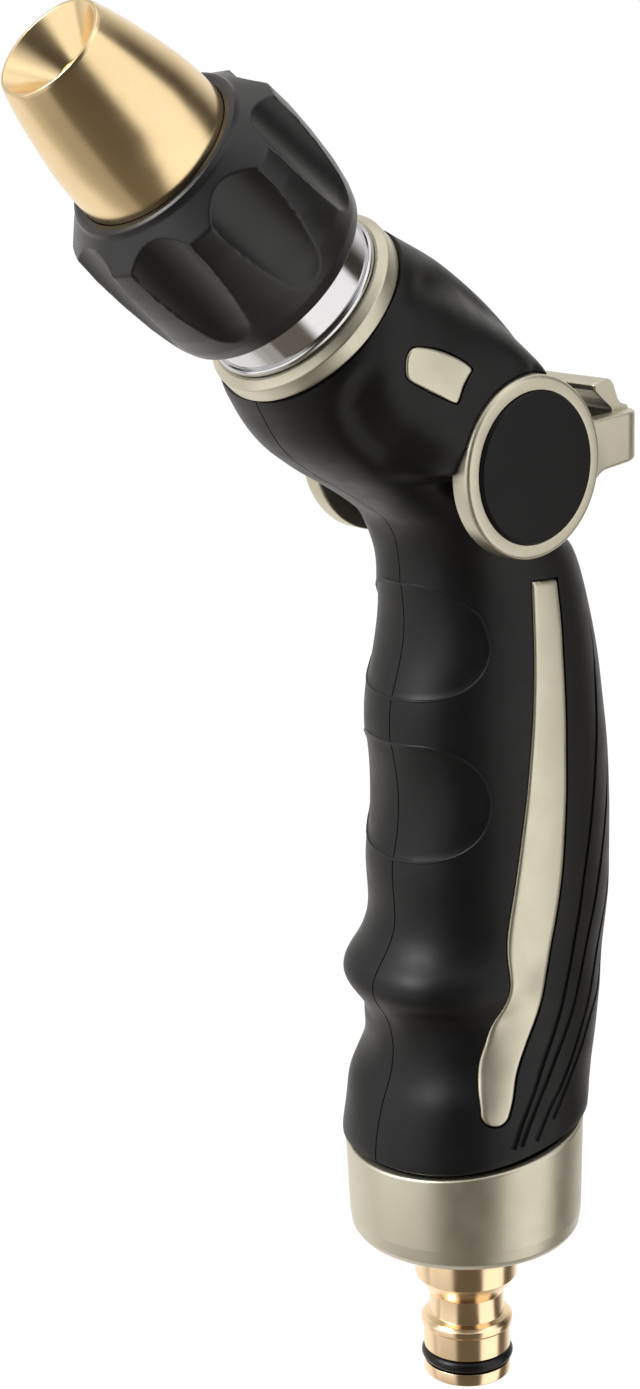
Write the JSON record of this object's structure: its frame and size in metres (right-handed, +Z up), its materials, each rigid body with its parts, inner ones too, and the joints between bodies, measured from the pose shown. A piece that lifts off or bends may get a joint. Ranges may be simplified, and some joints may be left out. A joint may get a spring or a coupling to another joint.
{
  "type": "hose spray nozzle",
  "caption": "Hand-held hose spray nozzle with a curved contoured grip, a thumb-lever flow valve at the neck, a fluted twist spray head set at an angle and a quick-connect spigot.",
  "frame": {"origin": "centre of the spigot's free end face, where the hose connector is pushed on", "axes": "+Z up the spigot and the handle, +X the way the spray head leans and the water leaves, +Y the tool's left side, where the handle is seen with the head to the viewer's left"},
  "size_m": [0.1138, 0.0426, 0.2456],
  "materials": {
    "brass": "turned and polished",
    "gold": "satin, light gold",
    "seal": "smooth, slightly glossy",
    "moulding": "moulded, matt",
    "champagne": "satin metallic coating",
    "grip": "soft-touch, matt",
    "zinc": "plain, satin",
    "chrome": "mirror-bright plating",
    "cap": "flat, matt",
    "collar": "satin, moulded"
  },
  "bodies": {
    "handle": {"hose_connector": "brass", "connector_oring": "seal", "inlet_washer": "seal", "inlet_tube": "moulding", "tube_oring": "seal", "ferrule": "champagne", "grip_shell_left": "grip", "grip_shell_right": "grip", "valve_housing": "zinc", "port_seats": "seal", "barrel_tube": "chrome", "barrel_oring": "seal", "bezel_ring": "champagne", "spray_stem": "brass", "side_trim_left": "champagne", "side_trim_right": "champagne", "head_inlay_left": "champagne", "head_inlay_right": "champagne"},
    "lever": {"thumb_lever": "champagne", "lever_cap_left": "cap", "lever_cap_right": "cap", "lever_screws": "zinc", "valve_drum": "brass", "drum_orings": "seal"},
    "head_carriage": {"head_seal": "seal"},
    "spray_head": {"spray_collar": "collar", "collar_insert": "brass", "insert_washer": "seal", "spray_tip": "gold"}
  },
  "joints": [
    {"name": "lever_pivot", "type": "hinge", "parent": "handle", "child": "lever", "pos_m": [0.0015, 0, 0.17], "axis": [0, -1, 0], "range_deg": [0, 30]},
    {"name": "head_travel", "type": "slide", "parent": "handle", "child": "head_carriage", "axis": [0.7443, 0, 0.6678], "range_m": [-0.0045, 0.0015]},
    {"name": "head_twist", "type": "hinge", "parent": "head_carriage", "child": "spray_head", "pos_m": [0.0015, 0, 0.17], "axis": [0.7443, 0, 0.6678], "range_deg": [-540, 180]}
  ],
  "couplings": [
    {"joint": "head_twist", "follows": "head_travel", "rad_per_m": 2094.4}
  ]
}
